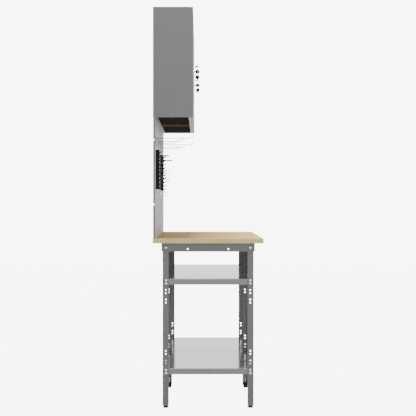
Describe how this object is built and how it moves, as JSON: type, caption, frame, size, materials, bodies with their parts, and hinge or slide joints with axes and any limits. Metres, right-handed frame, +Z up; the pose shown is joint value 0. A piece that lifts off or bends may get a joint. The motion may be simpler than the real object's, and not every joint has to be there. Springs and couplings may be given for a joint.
{
  "type": "steel workbench with tool panels and wall cabinets",
  "caption": "Grey steel workbench with a wood top, shelves, perforated tool panels with hooks, and lockable wall cabinets.",
  "frame": {"origin": "on the floor under the middle of the worktop", "axes": "+X along the bench towards its right end, +Y from the front to the wall side, +Z up"},
  "size_m": [1.6, 0.6, 2.173],
  "materials": {
    "wood_top": "satin",
    "grey_paint": "satin",
    "panel_paint": "satin",
    "zinc_steel": "satin",
    "bright_steel": "polished",
    "black_plastic": "matte",
    "black_rubber": "matte",
    "dark_pull": "satin"
  },
  "bodies": {
    "bench": {"worktop": "wood_top", "rail_front": "grey_paint", "rail_rear": "grey_paint", "rail_end_left": "grey_paint", "rail_end_right": "grey_paint", "rail_middle": "grey_paint", "leg_left_front": "grey_paint", "leg_left_rear": "grey_paint", "leg_middle_front": "grey_paint", "leg_middle_rear": "grey_paint", "leg_right_front": "grey_paint", "leg_right_rear": "grey_paint", "foot_sockets": "black_plastic", "shelf_upper_left": "grey_paint", "shelf_upper_right": "grey_paint", "shelf_lower_left": "grey_paint", "shelf_lower_right": "grey_paint", "panel_1": "panel_paint", "panel_2": "panel_paint", "panel_3": "panel_paint", "panel_4": "panel_paint", "cabinet_left": "grey_paint", "cabinet_right": "grey_paint", "cabinet_shelves": "grey_paint", "cabinet_lips": "grey_paint", "hinge_pins": "bright_steel", "spanner_racks": "black_plastic", "hooks_long": "zinc_steel", "hooks_medium": "zinc_steel", "hooks_short": "zinc_steel", "prong_racks": "zinc_steel", "curved_hooks": "zinc_steel", "ring_hooks": "zinc_steel", "tool_holders": "zinc_steel", "frame_bolts": "zinc_steel", "frame_nuts": "zinc_steel", "worktop_screws": "zinc_steel", "panel_screws": "zinc_steel"},
    "door_left_outer_body": {"door_left_outer": "grey_paint", "pull_left": "dark_pull", "lock_body_left": "bright_steel"},
    "door_left_inner_body": {"door_left_inner": "grey_paint"},
    "door_right_inner_body": {"door_right_inner": "grey_paint"},
    "door_right_outer_body": {"door_right_outer": "grey_paint", "pull_right": "dark_pull", "lock_body_right": "bright_steel"},
    "lock_left": {"lock_cam_left": "bright_steel", "key_left": "black_plastic"},
    "lock_right": {"lock_cam_right": "bright_steel", "key_right": "black_plastic"},
    "keys_left": {"key_ring_left": "bright_steel", "spare_key_left": "black_plastic"},
    "keys_right": {"key_ring_right": "bright_steel", "spare_key_right": "black_plastic"},
    "foot_body_left_front": {"foot_left_front": "black_rubber"},
    "foot_body_left_rear": {"foot_left_rear": "black_rubber"},
    "foot_body_middle_front": {"foot_middle_front": "black_rubber"},
    "foot_body_middle_rear": {"foot_middle_rear": "black_rubber"},
    "foot_body_right_front": {"foot_right_front": "black_rubber"},
    "foot_body_right_rear": {"foot_right_rear": "black_rubber"}
  },
  "joints": [
    {"name": "left_outer_hinge", "type": "hinge", "parent": "bench", "child": "door_left_outer_body", "pos_m": [-0.775, 0.084, 1.874], "axis": [0, 0, -1], "range_deg": [0, 100]},
    {"name": "left_inner_hinge", "type": "hinge", "parent": "bench", "child": "door_left_inner_body", "pos_m": [-0.025, 0.084, 1.874], "axis": [0, 0, 1], "range_deg": [0, 85]},
    {"name": "right_inner_hinge", "type": "hinge", "parent": "bench", "child": "door_right_inner_body", "pos_m": [0.025, 0.084, 1.874], "axis": [0, 0, -1], "range_deg": [0, 85]},
    {"name": "right_outer_hinge", "type": "hinge", "parent": "bench", "child": "door_right_outer_body", "pos_m": [0.775, 0.084, 1.874], "axis": [0, 0, 1], "range_deg": [0, 100]},
    {"name": "left_lock_turn", "type": "hinge", "parent": "door_left_outer_body", "child": "lock_left", "pos_m": [-0.416, 0.081, 1.861], "axis": [0, -1, 0], "range_deg": [0, 90]},
    {"name": "left_key_ring_swing", "type": "hinge", "parent": "lock_left", "child": "keys_left", "pos_m": [-0.416, 0.059, 1.861], "axis": [1, 0, 0], "range_deg": [-30, 12]},
    {"name": "right_lock_turn", "type": "hinge", "parent": "door_right_outer_body", "child": "lock_right", "pos_m": [0.416, 0.081, 1.861], "axis": [0, 1, 0], "range_deg": [0, 90]},
    {"name": "right_key_ring_swing", "type": "hinge", "parent": "lock_right", "child": "keys_right", "pos_m": [0.416, 0.059, 1.861], "axis": [1, 0, 0], "range_deg": [-30, 12]},
    {"name": "foot_slide_left_front", "type": "slide", "parent": "bench", "child": "foot_body_left_front", "axis": [0, 0, -1], "range_m": [0, 0.015]},
    {"name": "foot_slide_left_rear", "type": "slide", "parent": "bench", "child": "foot_body_left_rear", "axis": [0, 0, -1], "range_m": [0, 0.015]},
    {"name": "foot_slide_middle_front", "type": "slide", "parent": "bench", "child": "foot_body_middle_front", "axis": [0, 0, -1], "range_m": [0, 0.015]},
    {"name": "foot_slide_middle_rear", "type": "slide", "parent": "bench", "child": "foot_body_middle_rear", "axis": [0, 0, -1], "range_m": [0, 0.015]},
    {"name": "foot_slide_right_front", "type": "slide", "parent": "bench", "child": "foot_body_right_front", "axis": [0, 0, -1], "range_m": [0, 0.015]},
    {"name": "foot_slide_right_rear", "type": "slide", "parent": "bench", "child": "foot_body_right_rear", "axis": [0, 0, -1], "range_m": [0, 0.015]}
  ]
}
